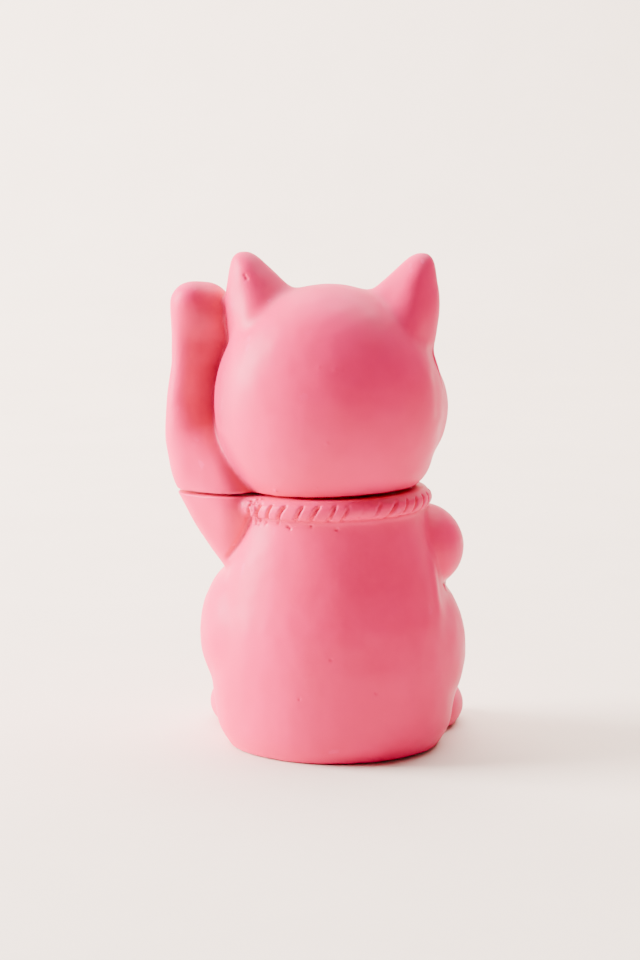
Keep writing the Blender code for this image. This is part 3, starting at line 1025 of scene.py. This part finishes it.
# A tall window to the cat's left, and a ceiling lamp that washes the floor and backdrop.
WINDOW_TURN = CAMERA_TURN - 94
WINDOW_LIFT = 22
WINDOW_DISTANCE = 1.3
WINDOW_SIZE = (0.6, 0.95)
WINDOW_POWER = 112.0
WINDOW_COLOUR = (1.0, 0.96, 0.94)
CEILING_PLACE = Vector((0, -0.42, 1.15))
CEILING_TARGET = Vector((0, -0.47, 0))
CEILING_SIZE = (1.6, 0.9)
CEILING_POWER = 42.0
CEILING_COLOUR = (1.0, 0.97, 0.94)

# The room beyond the floor is as pale as the floor to look at, but gives little light.
ROOM_COLOUR = (1.0, 0.93, 0.87, 1)
ROOM_LIGHT = 0.08
ROOM_SEEN = 3.8


def towards(turn, lift):
    """The direction from the cat to a viewer at that azimuth and elevation, in degrees."""
    a, e = math.radians(turn), math.radians(lift)
    return Vector((math.sin(a) * math.cos(e), -math.cos(a) * math.cos(e), math.sin(e)))


def aimed(obj, location, target):
    obj.location = location
    obj.rotation_euler = (target - location).to_track_quat("-Z", "Y").to_euler()
    bpy.context.scene.collection.objects.link(obj)
    return obj


def softbox(name, location, target, size, power, colour):
    """A soft lamp of (width, height)."""
    light = bpy.data.lights.new(name, "AREA")
    light.shape = "RECTANGLE"
    light.size, light.size_y = size
    light.energy = power
    light.color = colour
    return aimed(bpy.data.objects.new(name, light), location, target)


def lamps():
    window = TARGET + towards(WINDOW_TURN, WINDOW_LIFT) * WINDOW_DISTANCE
    softbox("window", window, TARGET, WINDOW_SIZE, WINDOW_POWER, WINDOW_COLOUR)
    softbox("ceiling", CEILING_PLACE, CEILING_TARGET, CEILING_SIZE, CEILING_POWER, CEILING_COLOUR)


def room():
    world = bpy.data.worlds.new("studio")
    bpy.context.scene.world = world
    world.use_nodes = True
    seen = world.node_tree.nodes.new("ShaderNodeLightPath").outputs["Is Camera Ray"]
    glow = world.node_tree.nodes.new("ShaderNodeMapRange")
    glow.inputs["To Min"].default_value = ROOM_LIGHT
    glow.inputs["To Max"].default_value = ROOM_SEEN
    background = world.node_tree.nodes["Background"]
    background.inputs["Color"].default_value = ROOM_COLOUR
    world.node_tree.links.new(seen, glow.inputs["Value"])
    world.node_tree.links.new(glow.outputs["Result"], background.inputs["Strength"])


def camera():
    data = bpy.data.cameras.new("camera")
    data.lens = LENS
    data.clip_start = 0.01
    place = TARGET + towards(CAMERA_TURN, CAMERA_LIFT) * CAMERA_DISTANCE
    bpy.context.scene.camera = aimed(bpy.data.objects.new("camera", data), place, TARGET)


def main():
    lamps()
    room()
    camera()
    stage()
    pink, metal, cloth = resin(), nickel(), felt()
    casting("body", "body_casting", body_solid(), body_marks(), "base", pink)
    casting("head_lid", "lid_casting", lid_solid(), lid_marks(), "lid", pink)
    for part, body in (("body", "base"), ("lid", "lid")):
        magnet_piece(f"{part}_neck_magnet", NECK_MAGNET, metal, body)
        magnet_piece(f"{part}_arm_magnet", ARM_MAGNET, metal, body)
    felt_piece("base_felt", "base_felt_pad", PAD_SIZE, PAD_THICKNESS, cloth)
    felt_piece("cavity_felt", "cavity_felt_liner", LINER_SIZE, LINER_THICKNESS, cloth)


main()
